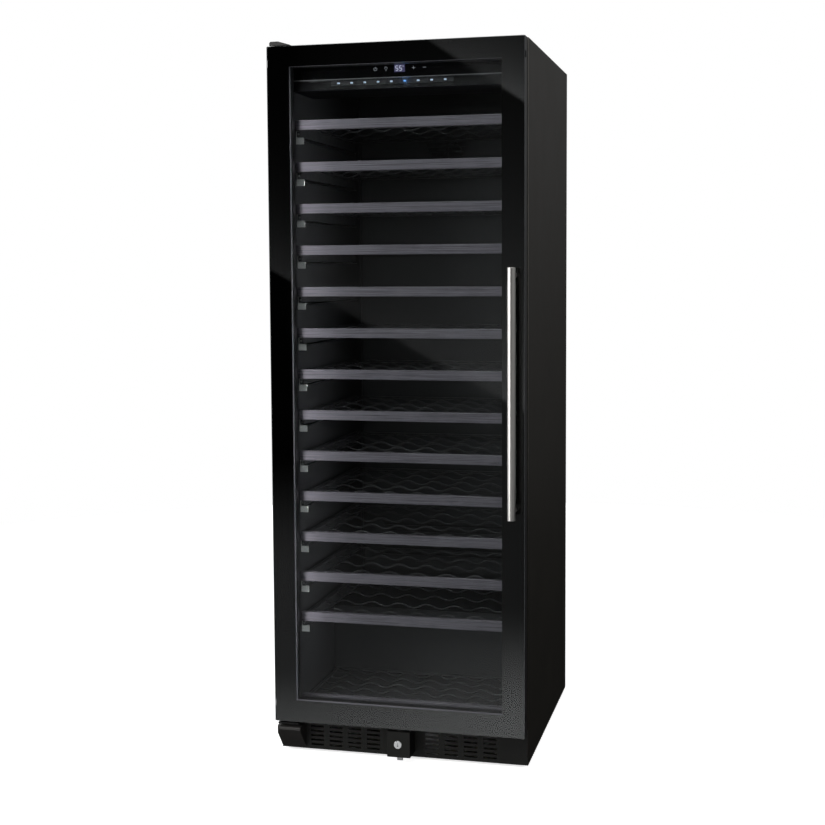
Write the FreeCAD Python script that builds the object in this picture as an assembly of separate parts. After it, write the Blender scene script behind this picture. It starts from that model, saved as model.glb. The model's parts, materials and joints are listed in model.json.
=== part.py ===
import FreeCAD, Part
import math
import os

V = FreeCAD.Vector

# Tall single-zone wine cooler, millimetres.
# Everything is drawn in cabinet coordinates: X from the centre line, Y backwards from the
# cabinet's front edge, Z up from the cabinet's lower edge. place() then moves it to the row
# frame, whose origin is the middle of the footprint on the floor, front facing -Y.

# ---- driving dimensions -------------------------------------------------------------------
WIDTH = 595.0
HEIGHT = 1650.0
DEPTH = 628.0
FOOT_HEIGHT = 8.0
SHEET = 1.0
FOLD = 12.0

# storage cavity inside the liner
LINER = 1.5
CAVITY_HALF = 259.0
CAVITY_FLOOR = 108.0
CAVITY_TOP = 1612.0
CAVITY_BACK = 568.0
STEP_DEPTH = 300.0
STEP_TOP = 275.0
FOAM_STEP = 30.0
FOAM_FLOOR = 22.0

# front frame that the door seals on
FRAME_DEPTH = 12.0
FRAME_LOW = 79.0
FRAME_HIGH = HEIGHT - FOLD - 0.2

# door
DOOR_LOW = 77.6
DOOR_HIGH = 1647.9
DOOR_FRONT = -50.0
PANE = 4.0
PANE_GAP = 12.0
PRINT_GAP = 0.4
DOOR_REAR = -12.0
BORDER_SIDE = 52.0
BORDER_LOW = 52.0
BORDER_HIGH = 47.0
PANE_LAP = 15.5
SPACER_WIDTH = 10.0
GASKET_WIDTH = 15.0
GASKET_INSET = 14.5
SEAL_GAP = 0.3

# hinge axis, at the left of the door
HINGE_X = -285.5
HINGE_Y = -26.0
PIN_R = 4.0
RUNNING_FIT = 0.05
PIN_REACH = 22.0

# handle
HANDLE_X = 275.0
HANDLE_R = 9.0
HANDLE_STANDOFF = 44.0
HANDLE_LENGTH = 558.0
HANDLE_MID = 864.0
POST_R = 6.0
POST_PITCH = 522.0

# shelves
SHELF_COUNT = 13
SHELF_TOP = 1486.9
SHELF_PITCH = 96.75
RAIL_HALF = 253.0
RAIL_HEIGHT = 22.3
RAIL_FRONT = 20.0
RAIL_REAR = 34.0
RAIL_WALL = 1.5
DECK_REAR = 486.0
DECK_MID = -11.0
DECK_HALF = 244.0
CRADLES = 7
CRADLE_DEPTH = 4.5
WIRE_R = 2.0
EDGE_WIRE_R = 3.0
CROSS_WIRES = 5
RUNNER_X = 246.5
RUNNER_REAR = 490.0
RUNNER_DROP = 37.5
BAY_RAIL_TOP = 125.0
BAY_DECK_REAR = 286.0

# kick, lock and lower hinge cover
KICK_T = 1.5
KICK_HIGH = 76.5
SLOT = (31.5, 5.0)
SLOT_PITCH = (46.0, 11.0)
SLOT_FIRST = (71.0, 11.5)
LOCK_X = 2.5
LOCK_SIZE = (55.0, 48.5, 60.0)
LOCK_LOW = 13.0
BOLT_TAIL = 13.0
BARREL_X = 1.0
BARREL_Z = 42.5
BARREL_R = 9.5
BOLT_SIZE = (13.0, 5.0, 68.0)
BOLT_Y = -32.0
BOLT_LOW = 7.5

# control header and lamps
HEADER_LOW = 1577.0
HEADER_FRONT = 14.0
HEADER_REAR = 170.0
LAMP_COUNT = 9
LAMP_PITCH = 31.5
LAMP_MID_X = -22.0
LAMP_Z = 1568.0

# air duct and the cooling circuit
DUCT_FRONT = 505.0
EVAP_FAN = (0.0, 540.0, 1480.0)
COND_FAN = (90.0, 440.0, 125.0)
REAR_COVER_Y = 612.0
GLAND_AT = (220.0, 60.0)
GLAND_R = 4.0

HALF = WIDTH / 2
ROW_SHIFT = V(0, -(DEPTH + DOOR_FRONT - HANDLE_STANDOFF - HANDLE_R) / 2, FOOT_HEIGHT)


# ---- helpers ------------------------------------------------------------------------------
def box(x0, x1, y0, y1, z0, z1):
    return Part.makeBox(x1 - x0, y1 - y0, z1 - z0, V(x0, y0, z0))


def rod(radius, start, end):
    run = V(*end) - V(*start)
    return Part.makeCylinder(radius, run.Length, V(*start), run)


def prism_x(yz, x0, x1):
    points = [V(x0, y, z) for y, z in yz]
    return Part.Face(Part.makePolygon(points + points[:1])).extrude(V(x1 - x0, 0, 0))


def prism_y(xz, y0, y1):
    points = [V(x, y0, z) for x, z in xz]
    return Part.Face(Part.makePolygon(points + points[:1])).extrude(V(0, y1 - y0, 0))


def prism_z(xy, z0, z1):
    points = [V(x, y, z0) for x, y in xy]
    return Part.Face(Part.makePolygon(points + points[:1])).extrude(V(0, 0, z1 - z0))


def mirrored(shape):
    return shape.mirror(V(0, 0, 0), V(1, 0, 0))


def both_sides(shape):
    return [shape, mirrored(shape)]


def joined(shapes):
    return shapes[0].fuse(shapes[1:]).removeSplitter()


def group(solids):
    return Part.makeCompound(solids)


def straight_edges(shape, axis, test):
    """Edges parallel to axis whose middle passes the test."""
    picked = []
    for edge in shape.Edges:
        if len(edge.Vertexes) != 2 or not isinstance(edge.Curve, Part.Line):
            continue
        run = edge.Vertexes[1].Point - edge.Vertexes[0].Point
        if run.cross(axis).Length < 1e-6 * run.Length and test(edge.CenterOfMass):
            picked.append(edge)
    return picked


def near(a, b):
    return abs(a - b) < 0.01


# ---- cabinet ------------------------------------------------------------------------------
def side_panels():
    web = box(HALF - SHEET, HALF, 0, DEPTH, 0, HEIGHT)
    flange = box(HALF - FOLD, HALF, 0, SHEET, 0, HEIGHT)
    panel = joined([web, flange])
    corner = straight_edges(panel, V(0, 0, 1), lambda p: near(p.x, HALF) and near(p.y, 0))
    return group(both_sides(panel.makeFillet(0.9 * SHEET, corner)))


def top_panel():
    inside = HALF - SHEET - 0.2
    front = SHEET + 0.2
    sheet = box(-inside, inside, front, DEPTH, HEIGHT - SHEET, HEIGHT)
    lip = HALF - FOLD - 0.2
    flange = box(-lip, lip, 0, SHEET, HEIGHT - FOLD, HEIGHT)
    bend = box(-lip, lip, SHEET, front, HEIGHT - SHEET, HEIGHT)
    return joined([sheet, bend, flange])


def tip_guard_holes(radius, y0, y1):
    """Two holes near the top rear corners, for the bracket that ties the cooler to a wall."""
    z = HEIGHT - 20.0
    return [rod(radius, (x, y0, z), (x, y1, z)) for x in (-250.0, 250.0)]


def back_panel():
    inside = HALF - SHEET - 0.2
    upper = box(-inside, inside, DEPTH - SHEET, DEPTH, STEP_TOP - FOAM_STEP - 2, HEIGHT - SHEET)
    upper = upper.cut(group(tip_guard_holes(2.1, DEPTH - 5, DEPTH + 5)))
    low, high = 14.0, STEP_TOP - FOAM_STEP - 6
    cover = box(-inside + 6, inside - 6, REAR_COVER_Y, REAR_COVER_Y + SHEET, low, high)
    louvres = [
        box(x - 24, x + 24, REAR_COVER_Y - 5, REAR_COVER_Y + 5, z - 2.5, z + 2.5)
        for x in (-230 + 62 * i for i in range(7))
        for z in (40 + 22 * i for i in range(9))
    ]
    x, z = GLAND_AT
    hole = rod(9.2, (x, REAR_COVER_Y - 5, z), (x, REAR_COVER_Y + 5, z))
    return group([upper, cover.cut(group(louvres + [hole]))])


def base_pan():
    wide = HALF - SHEET - 2.5
    front, rear = 14.0, DEPTH - 4.0
    floor = box(-wide, wide, front, rear, 0, 1.5)
    sides = both_sides(box(wide - 1.5, wide, front, rear, 0, 20))
    back = box(-wide, wide, rear - 1.5, rear, 0, 11)
    return joined([floor, back] + sides)


def leveling_feet():
    feet = []
    for x in (-250.0, 250.0):
        for y in (45.0, DEPTH - 45.0):
            disc = Part.makeCylinder(18, 5, V(x, y, -FOOT_HEIGHT))
            disc = disc.makeChamfer(1.0, [disc.Edges[0], disc.Edges[2]])
            corners = [
                (x + 10 * math.cos(math.radians(60 * i)), y + 10 * math.sin(math.radians(60 * i)))
                for i in range(6)
            ]
            feet.append(joined([disc, prism_z(corners, 5 - FOOT_HEIGHT, 0)]))
    return group(feet)


def insulation_foam():
    """Foam slabs between the steel shell and the liner, one for each wall of the cavity."""
    wide = CAVITY_HALF + LINER
    rear = DEPTH - SHEET
    riser = STEP_DEPTH + LINER
    floor, step = CAVITY_FLOOR - LINER, STEP_TOP - LINER
    roof = HEIGHT - SHEET
    outline = [
        (FRAME_DEPTH, floor - FOAM_FLOOR),
        (riser + FOAM_STEP, floor - FOAM_FLOOR),
        (riser + FOAM_STEP, step - FOAM_STEP),
        (rear, step - FOAM_STEP),
        (rear, roof),
        (FRAME_DEPTH, roof),
    ]
    side = prism_x(outline, wide, HALF - SHEET)
    ceiling = box(-wide, wide, FRAME_DEPTH, rear, CAVITY_TOP + LINER, roof)
    slabs = both_sides(side)
    slabs.append(ceiling.cut(group(tip_guard_holes(3.5, rear - 25, rear + 5))))
    slabs.append(box(-wide, wide, CAVITY_BACK + LINER, rear, step, CAVITY_TOP + LINER))
    slabs.append(box(-wide, wide, FRAME_DEPTH, riser + FOAM_STEP, floor - FOAM_FLOOR, floor))
    slabs.append(box(-wide, wide, riser, riser + FOAM_STEP, floor, step))
    slabs.append(box(-wide, wide, riser + FOAM_STEP, rear, step - FOAM_STEP, step))
    return group(slabs)


def cavity_outline(grow, front):
    """Side view of the stepped storage cavity, grown by the wall it is for."""
    return [
        (front, CAVITY_FLOOR - grow),
        (STEP_DEPTH + grow, CAVITY_FLOOR - grow),
        (STEP_DEPTH + grow, STEP_TOP - grow),
        (CAVITY_BACK + grow, STEP_TOP - grow),
        (CAVITY_BACK + grow, CAVITY_TOP + grow),
        (front, CAVITY_TOP + grow),
    ]


def inner_liner():
    wide = CAVITY_HALF + LINER
    outer = prism_x(cavity_outline(LINER, FRAME_DEPTH), -wide, wide)
    return outer.cut(prism_x(cavity_outline(0, 0), -CAVITY_HALF, CAVITY_HALF))


def front_frame():
    outside = HALF - FOLD - 0.2
    uprights = both_sides(box(CAVITY_HALF, outside, 0, FRAME_DEPTH, FRAME_LOW, FRAME_HIGH))
    rails = [
        box(-CAVITY_HALF, CAVITY_HALF, 0, FRAME_DEPTH, FRAME_LOW, CAVITY_FLOOR),
        box(-CAVITY_HALF, CAVITY_HALF, 0, FRAME_DEPTH, CAVITY_TOP, FRAME_HIGH),
    ]
    return group(uprights + rails)


# ---- kick, lock and hinges ----------------------------------------------------------------
def kick_grille():
    plate = box(-HALF + 1, HALF - 1, -KICK_T, 0, 0.5, KICK_HIGH)
    slots = []
    for column in range(4):
        x = SLOT_FIRST[0] + column * SLOT_PITCH[0]
        for row in range(5):
            z = SLOT_FIRST[1] + row * SLOT_PITCH[1]
            slot = box(x - SLOT[0] / 2, x + SLOT[0] / 2, -5, 5, z - SLOT[1] / 2, z + SLOT[1] / 2)
            slots += both_sides(slot)
    screw = rod(3.0, (288, -KICK_T - 0.8, 21.5), (288, -KICK_T, 21.5))
    return joined([plate.cut(group(slots)), screw])


def bolt_block(margin, z0, z1):
    x, y = BARREL_X - BOLT_SIZE[0] / 2, BOLT_Y
    return box(x - margin, x + BOLT_SIZE[0] + margin, y - margin, y + BOLT_SIZE[1] + margin, z0, z1)


def lock_housing():
    x0 = LOCK_X - LOCK_SIZE[0] / 2
    y0 = -KICK_T - LOCK_SIZE[1]
    body = box(x0, x0 + LOCK_SIZE[0], y0, -KICK_T, LOCK_LOW, LOCK_LOW + LOCK_SIZE[2])
    fronts = straight_edges(body, V(0, 0, 1), lambda p: near(p.y, y0))
    body = body.makeFillet(1.2, fronts)
    keyway = rod(BARREL_R + RUNNING_FIT, (BARREL_X, y0 - 5, BARREL_Z), (BARREL_X, BOLT_Y - 0.3, BARREL_Z))
    return body.cut(group([keyway, bolt_block(0.3, LOCK_LOW - 5, LOCK_LOW + LOCK_SIZE[2] + 5)]))


def lock_barrel():
    y0 = -KICK_T - LOCK_SIZE[1] - 1.2
    barrel = rod(BARREL_R, (BARREL_X, y0, BARREL_Z), (BARREL_X, BOLT_Y - 1.3, BARREL_Z))
    rim = [e for e in barrel.Edges if near(e.CenterOfMass.y, y0)]
    barrel = barrel.makeChamfer(0.8, rim)
    key_slot = box(BARREL_X - 1.1, BARREL_X + 1.1, y0 - 5, y0 + 6, BARREL_Z - 4.5, BARREL_Z + 4.5)
    return barrel.cut(key_slot)


def lock_bolt():
    bolt = bolt_block(0, LOCK_LOW - BOLT_TAIL, BOLT_LOW + BOLT_SIZE[2])
    top = straight_edges(bolt, V(0, 1, 0), lambda p: near(p.z, BOLT_LOW + BOLT_SIZE[2]))
    return bolt.makeFillet(2.0, top)


def hinge_brackets():
    """Upper and lower hinge plates, each with the fixed pin that the door turns on."""
    top = box(-292, -258, -40, 36, HEIGHT, HEIGHT + 3)
    top_pin = rod(PIN_R, (HINGE_X, HINGE_Y, HEIGHT + 1), (HINGE_X, HINGE_Y, DOOR_HIGH - PIN_REACH))
    low = box(-294, -244, -39, -KICK_T, 68.5, 72.5)
    leg = box(-294, -244, -KICK_T - 3, -KICK_T, 40, 68.5)
    low_pin = rod(PIN_R, (HINGE_X, HINGE_Y, 70), (HINGE_X, HINGE_Y, DOOR_LOW + PIN_REACH))
    washer = rod(7.5, (HINGE_X, HINGE_Y, 72.5), (HINGE_X, HINGE_Y, 75.5))
    return group([joined([top, top_pin]), joined([low, leg, low_pin, washer])])


def top_hinge_cover():
    roof = HEIGHT + 9
    outline = [(-293, HEIGHT), (-293, roof - 3), (-290, roof), (-272, roof), (-245, HEIGHT + 1)]
    cover = prism_y(outline + [(-245, HEIGHT)], -43, 42)
    pocket = box(-292.3, -257.7, -40.3, 36.3, HEIGHT - 1, HEIGHT + 3.3)
    return cover.cut(pocket)


def bottom_hinge_cover():
    """Wedge that hides the lower hinge: full depth at the top, back to the kick at the foot."""
    high, low, reach, lip, brow = 64.0, 6.0, -47.0, 7.0, 3.5
    side = [(-KICK_T, high), (reach, high), (reach, high - lip), (-4, low), (-KICK_T, low)]
    wedge = prism_x(side, -296.5, -237.5)
    wedge = wedge.makeFillet(
        brow, straight_edges(wedge, V(1, 0, 0), lambda p: near(p.y, reach) and near(p.z, high))
    )
    bevel = prism_z([(-299, -52), (-285, -52), (-299, -34)], 0, high + 5)
    pocket = box(-294.3, -243.7, -KICK_T - 3.3, 0, 39.7, high + 1)
    return wedge.cut(group([bevel, pocket]))


# ---- door ---------------------------------------------------------------------------------
WINDOW_HALF = HALF - BORDER_SIDE
WINDOW_LOW = DOOR_LOW + BORDER_LOW
WINDOW_HIGH = DOOR_HIGH - BORDER_HIGH
PANE_FRONT = DOOR_FRONT + PANE + PANE_GAP
LIP_FRONT = PANE_FRONT + PANE + PRINT_GAP


def door_outer_glass():
    pane = box(-HALF, HALF, DOOR_FRONT, DOOR_FRONT + PANE, DOOR_LOW, DOOR_HIGH)
    corners = straight_edges(pane, V(0, 1, 0), lambda p: True)
    pane = pane.makeFillet(3.0, corners)
    rim = [e for e in pane.Edges if near(e.BoundBox.YMax, DOOR_FRONT)]
    return pane.makeChamfer(0.6, rim)


def door_inner_glass():
    half = WINDOW_HALF + PANE_LAP
    low, high = WINDOW_LOW - PANE_LAP, WINDOW_HIGH + PANE_LAP
    return box(-half, half, PANE_FRONT, PANE_FRONT + PANE, low, high)


def ring(inner_half, inner_low, inner_high, width, y0, y1):
    """Four butted bars around the window."""
    outer = inner_half + width
    bars = both_sides(box(inner_half, outer, y0, y1, inner_low, inner_high))
    bars.append(box(-outer, outer, y0, y1, inner_low - width, inner_low))
    bars.append(box(-outer, outer, y0, y1, inner_high, inner_high + width))
    return bars


def glass_spacer():
    inset = 0.5
    bars = ring(WINDOW_HALF + inset, WINDOW_LOW - inset, WINDOW_HIGH + inset, SPACER_WIDTH,
                DOOR_FRONT + PANE + PRINT_GAP, PANE_FRONT)
    return group(bars)


def door_gasket():
    half = HALF - GASKET_INSET - GASKET_WIDTH
    low = DOOR_LOW + GASKET_INSET + GASKET_WIDTH
    high = DOOR_HIGH - GASKET_INSET - GASKET_WIDTH
    return group(ring(half, low, high, GASKET_WIDTH, DOOR_REAR, -SEAL_GAP))


def frame_section(edge, pane_edge, window):
    """Door frame profile from the door's edge inwards: a deep outer part and a lip behind the panes."""
    front = DOOR_FRONT + PANE + PRINT_GAP
    return [
        (pane_edge, front),
        (edge, front),
        (edge, DOOR_REAR),
        (window, DOOR_REAR),
        (window, LIP_FRONT),
        (pane_edge, LIP_FRONT),
    ]


def door_frame():
    edge, clear = 0.2, 0.5
    side = frame_section(HALF - edge, WINDOW_HALF + PANE_LAP + clear, WINDOW_HALF)
    upright = prism_z(side, WINDOW_LOW, WINDOW_HIGH)
    upright = upright.makeFillet(
        1.5, straight_edges(upright, V(0, 0, 1), lambda p: p.x > HALF - 1 and near(p.y, DOOR_REAR))
    )
    low = frame_section(DOOR_LOW + edge, WINDOW_LOW - PANE_LAP - clear, WINDOW_LOW)
    high = frame_section(DOOR_HIGH - edge, WINDOW_HIGH + PANE_LAP + clear, WINDOW_HIGH)
    members = [
        prism_x([(y, z) for z, y in section], -HALF + edge, HALF - edge) for section in (low, high)
    ]
    bore = rod(PIN_R + RUNNING_FIT, (HINGE_X, HINGE_Y, 0), (HINGE_X, HINGE_Y, DOOR_LOW + PIN_REACH + 2))
    bore_top = rod(
        PIN_R + RUNNING_FIT, (HINGE_X, HINGE_Y, DOOR_HIGH - PIN_REACH - 2), (HINGE_X, HINGE_Y, HEIGHT)
    )
    strike = bolt_block(0.8, DOOR_LOW - 2, DOOR_LOW + 15)
    members = [
        member.makeFillet(1.5, straight_edges(member, V(0, 0, 1), lambda p: near(p.y, DOOR_REAR)))
        for member in members
    ]
    lower = members[0].cut(group([bore, strike]))
    upper = members[1].cut(bore_top)
    return group(both_sides(upright) + [lower, upper])


def handle_axis():
    return DOOR_FRONT - HANDLE_STANDOFF


def handle_bar():
    z0 = HANDLE_MID - HANDLE_LENGTH / 2
    bar = Part.makeCylinder(HANDLE_R, HANDLE_LENGTH, V(HANDLE_X, handle_axis(), z0))
    ends = [e for e in bar.Edges if isinstance(e.Curve, Part.Circle)]
    return bar.makeChamfer(0.8, ends)


def handle_posts():
    posts = []
    for z in (HANDLE_MID - POST_PITCH / 2, HANDLE_MID + POST_PITCH / 2):
        post = rod(POST_R, (HANDLE_X, DOOR_FRONT, z), (HANDLE_X, handle_axis(), z))
        posts.append(post.cut(handle_bar()))
    return group(posts)


# ---- shelves ------------------------------------------------------------------------------
def rail_profile(top, height):
    wall = RAIL_WALL
    return [
        (RAIL_FRONT, top - height),
        (RAIL_REAR, top - height),
        (RAIL_REAR, top - height + wall),
        (RAIL_FRONT + wall, top - height + wall),
        (RAIL_FRONT + wall, top - wall),
        (RAIL_REAR, top - wall),
        (RAIL_REAR, top),
        (RAIL_FRONT, top),
    ]


def front_rail(top, height):
    rail = prism_x(rail_profile(top, height), -RAIL_HALF, RAIL_HALF)
    edges = straight_edges(rail, V(1, 0, 0), lambda p: near(p.y, RAIL_FRONT))
    return rail.makeFillet(1.2, edges)


def cradle_wire(y, mid):
    """Wavy cross wire: one valley for each bottle, as tangent arcs."""
    half_wave = DECK_HALF / CRADLES
    edges = []
    for i in range(2 * CRADLES):
        x0 = -DECK_HALF + i * half_wave
        swing = -CRADLE_DEPTH if i % 2 == 0 else CRADLE_DEPTH
        ends = V(x0, y, mid), V(x0 + half_wave, y, mid)
        edges.append(Part.Arc(ends[0], V(x0 + half_wave / 2, y, mid + swing), ends[1]).toShape())
    path = Part.Wire(edges)
    start = path.Edges[0].tangentAt(path.Edges[0].FirstParameter)
    circle = Part.Wire(Part.makeCircle(WIRE_R, V(-DECK_HALF, y, mid), start))
    return path.makePipeShell([circle], True, False)


def wire_deck(mid, rear):
    front = RAIL_FRONT + RAIL_WALL + EDGE_WIRE_R + 0.1
    half = DECK_HALF
    edge_wires = [rod(EDGE_WIRE_R, (-half, y, mid), (half, y, mid)) for y in (front, rear)]
    side_wires = both_sides(
        rod(EDGE_WIRE_R, (half, front - EDGE_WIRE_R, mid), (half, rear + EDGE_WIRE_R, mid))
    )
    gap = (rear - RAIL_REAR) / CROSS_WIRES
    cradles = [cradle_wire(RAIL_REAR + gap * (i + 0.6), mid) for i in range(CROSS_WIRES)]
    return joined(side_wires + edge_wires + cradles)


def runner(top):
    """Moving slide member, open towards the wall, with a solid stop block at its front end."""
    x, front, low = RUNNER_X + EDGE_WIRE_R - 2.5, RAIL_REAR + 0.2, top - RUNNER_DROP
    web = box(x, x + 1.2, front, RUNNER_REAR, low, top - 6)
    foot = box(x, x + 8, front, RUNNER_REAR, low, low + 1.2)
    shelf = box(x, x + 8, front, RUNNER_REAR, top - 27.2, top - 26)
    block = box(x, x + 8, front, front + 22, low, top - 24)
    return joined([web, foot, shelf, block])


def slide_rail(top):
    """Fixed slide member, open towards the cavity, on the liner wall, with a tab turned down in front."""
    front, rear = RAIL_REAR + 6, RUNNER_REAR + 6
    low, high = top - RUNNER_DROP - 4, top - 22.8
    web = box(CAVITY_HALF - 1.2, CAVITY_HALF, front, rear, low, high)
    foot = box(CAVITY_HALF - 13, CAVITY_HALF, front, rear, low, low + 1.5)
    roof = box(CAVITY_HALF - 9, CAVITY_HALF, front, rear, high - 1.2, high)
    tab = box(CAVITY_HALF - 19, CAVITY_HALF, front, front + 1.5, low - 12, low + 3)
    return joined([web, foot, roof, tab])


def shelf_rack():
    """Rack whose front rail would have its top edge at z = 0."""
    return group([wire_deck(DECK_MID, DECK_REAR)] + both_sides(runner(0)))


def shelf_tops():
    return [SHELF_TOP - SHELF_PITCH * i for i in range(SHELF_COUNT)]


def slide_rails():
    rails = []
    for top in shelf_tops():
        rails += both_sides(slide_rail(top))
    return group(rails)


def bottom_rail():
    return front_rail(BAY_RAIL_TOP, BAY_RAIL_TOP - CAVITY_FLOOR)


def bottom_rack():
    mid = CAVITY_FLOOR + CRADLE_DEPTH + WIRE_R
    return wire_deck(mid, BAY_DECK_REAR)


# ---- control header and lamps -------------------------------------------------------------
def control_panel():
    wide = CAVITY_HALF - 0.5
    top = CAVITY_TOP - 0.5
    head = box(-wide, wide, HEADER_FRONT, HEADER_REAR, HEADER_LOW, top)
    head = head.makeFillet(
        2.0, straight_edges(head, V(1, 0, 0), lambda p: near(p.y, HEADER_FRONT) and near(p.z, top))
    )
    lip = box(-wide, wide, HEADER_FRONT - 2, HEADER_FRONT + 10, HEADER_LOW - 2, HEADER_LOW)
    lamp_box = box(-wide, wide, HEADER_FRONT + 8, HEADER_REAR, HEADER_LOW - 24, HEADER_LOW)
    return joined([head, lip, lamp_box])


def led_strip():
    front = HEADER_FRONT + 8
    half = LAMP_PITCH * (LAMP_COUNT - 1) / 2 + 18
    bar = box(LAMP_MID_X - half, LAMP_MID_X + half, front - 2, front, LAMP_Z - 5, LAMP_Z + 5)
    domes = []
    for i in range(LAMP_COUNT):
        x = LAMP_MID_X + LAMP_PITCH * (i - (LAMP_COUNT - 1) / 2)
        ball = Part.makeSphere(3.2, V(x, front - 1.2, LAMP_Z))
        domes.append(ball.cut(box(x - 5, x + 5, front - 1.9, front + 5, LAMP_Z - 5, LAMP_Z + 5)))
    return joined([bar] + domes)


# ---- cooling circuit ----------------------------------------------------------------------
def fan_blade(at, radius, hub_r, depth, count):
    """Axial fan on the Y axis: bored hub with pitched flat blades."""
    x, y, z = at
    hub = rod(hub_r, (x, y - depth / 2, z), (x, y + depth / 2, z))
    bore = rod(2.5 + RUNNING_FIT, (x, y - depth, z), (x, y + depth, z))
    blades = []
    for i in range(count):
        chord = hub_r * 1.6
        blade = box(x - chord / 2, x + chord / 2, y - 0.8, y + 0.8, z + hub_r * 0.8, z + radius)
        blade.rotate(V(x, y, z), V(0, 0, 1), 28)
        blade.rotate(V(x, y, z), V(0, 1, 0), 360 / count * i)
        blades.append(blade)
    rim = rod(radius + 1, (x, y - depth / 2, z), (x, y + depth / 2, z))
    return joined([hub] + blades).common(rim).cut(bore)


def fan_mount(at, plate_y, radius, reach):
    """Three-arm spider with the spindle that a fan turns on."""
    x, y, z = at
    hub = rod(14, (x, plate_y, z), (x, plate_y + 3, z))
    arms = []
    for i in range(3):
        arm = box(x - 3, x + 3, plate_y, plate_y + 3, z, z + radius)
        arm.rotate(V(x, plate_y, z), V(0, 1, 0), 60 + 120 * i)
        arms.append(arm)
    spindle = rod(2.5, (x, plate_y, z), (x, plate_y + reach, z))
    return [hub, spindle] + arms


def air_duct_cover():
    front, wall, half = DUCT_FRONT, 2.0, 240.0
    low, high = 330.0, 1560.0
    shell = box(-half, half, front, CAVITY_BACK, low, high)
    uprights = straight_edges(shell, V(0, 0, 1), lambda p: near(p.y, front))
    shell = shell.makeFillet(8.0, uprights)
    hollow = box(-half + wall, half - wall, front + wall, CAVITY_BACK + 5, low + wall, high - wall)
    x, y, z = EVAP_FAN
    cuts = [hollow]
    for i in range(9):
        offset = 13.0 * (i - 4)
        reach = math.sqrt(58.0**2 - offset**2)
        cuts.append(box(-reach, reach, front - 5, front + 5, z + offset - 4, z + offset + 4))
    for i in range(6):
        cuts.append(box(-180, 180, front - 5, front + 5, 372 + 16 * i, 379 + 16 * i))
    spider = fan_mount(EVAP_FAN, front + wall, 62, 45)
    return joined([shell.cut(group(cuts))] + spider)


def finned_coil(x0, x1, y0, y1, z0, z1, pitch, rows, tube_r):
    count = int((x1 - x0) / pitch)
    fins = [box(x0 + i * pitch, x0 + i * pitch + 0.8, y0, y1, z0, z1) for i in range(count + 1)]
    mid = (y0 + y1) / 2
    spacing = (z1 - z0) / rows
    last = x0 + count * pitch + 0.8
    tubes = [
        rod(tube_r, (x0 - 8, mid, z0 + spacing * (i + 0.5)), (last + 8, mid, z0 + spacing * (i + 0.5)))
        for i in range(rows)
    ]
    return joined(tubes + fins)


def evaporator():
    return finned_coil(-160, 160, 522, 556, 760, 1240, 16, 8, 4.5)


def evaporator_fan_blade():
    return fan_blade(EVAP_FAN, 54, 16, 20, 5)


def condenser():
    """Finned coil in front of the fan shroud, whose spider holds the fan's spindle."""
    coil = finned_coil(0, 180, 366, 402, 40, 210, 9, 6, 4.0)
    x, y, z = COND_FAN
    plate = box(x - 100, x + 100, 408, 410, 25, 225)
    plate = plate.cut(rod(84, (x, 400, z), (x, 420, z)))
    collar = rod(86, (x, 410, z), (x, 428, z)).cut(rod(84, (x, 405, z), (x, 435, z)))
    shroud = joined([plate, collar] + fan_mount(COND_FAN, 408, 86, 42))
    feet = [box(cx - 6, cx + 6, 402, 408, 1.5, 45) for cx in (x - 80, x + 80)]
    return group([coil, joined([shroud] + feet)])


def condenser_fan_blade():
    return fan_blade(COND_FAN, 80, 20, 22, 5)


def compressor():
    x, y, floor = -160.0, 470.0, 1.5
    base = floor + 14
    radius, wall_height, dome_r = 70.0, 120.0, 87.5
    can = Part.makeCylinder(radius, wall_height, V(0, 0, base))
    can = can.makeFillet(10.0, [e for e in can.Edges if near(e.BoundBox.ZMax, base)])
    dome_centre = base + wall_height - math.sqrt(dome_r**2 - radius**2)
    dome = Part.makeSphere(dome_r, V(0, 0, dome_centre))
    dome = dome.cut(box(-dome_r, dome_r, -dome_r, dome_r, dome_centre - dome_r, base + wall_height))
    weld = Part.makeCylinder(radius + 2, 4, V(0, 0, base + 70))
    plate = box(-95, 95, -75, 75, floor + 12, base + 2)
    mounts = [Part.makeCylinder(13, 12, V(sx, sy, floor)) for sx in (-78, 78) for sy in (-58, 58)]
    stubs = [
        rod(5, (0, 55, base + 100), (0, 100, base + 100)),
        rod(4, (40, 45, base + 60), (40, 95, base + 60)),
    ]
    terminal_box = box(-82, -60, -24, 24, base + 45, base + 100)
    unit = joined([can, dome, weld, plate, terminal_box] + mounts + stubs)
    unit.translate(V(x, y, 0))
    return unit


def cord_gland():
    """Bushing in the rear cover where the mains cord passes through."""
    x, z = GLAND_AT
    y = REAR_COVER_Y
    flange = rod(13, (x, y + SHEET, z), (x, y + SHEET + 3, z))
    body = rod(9, (x, y - 8, z), (x, y + SHEET + 10, z))
    bore = rod(GLAND_R, (x, y - 20, z), (x, y + 20, z))
    return joined([flange, body]).cut(bore)


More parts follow.
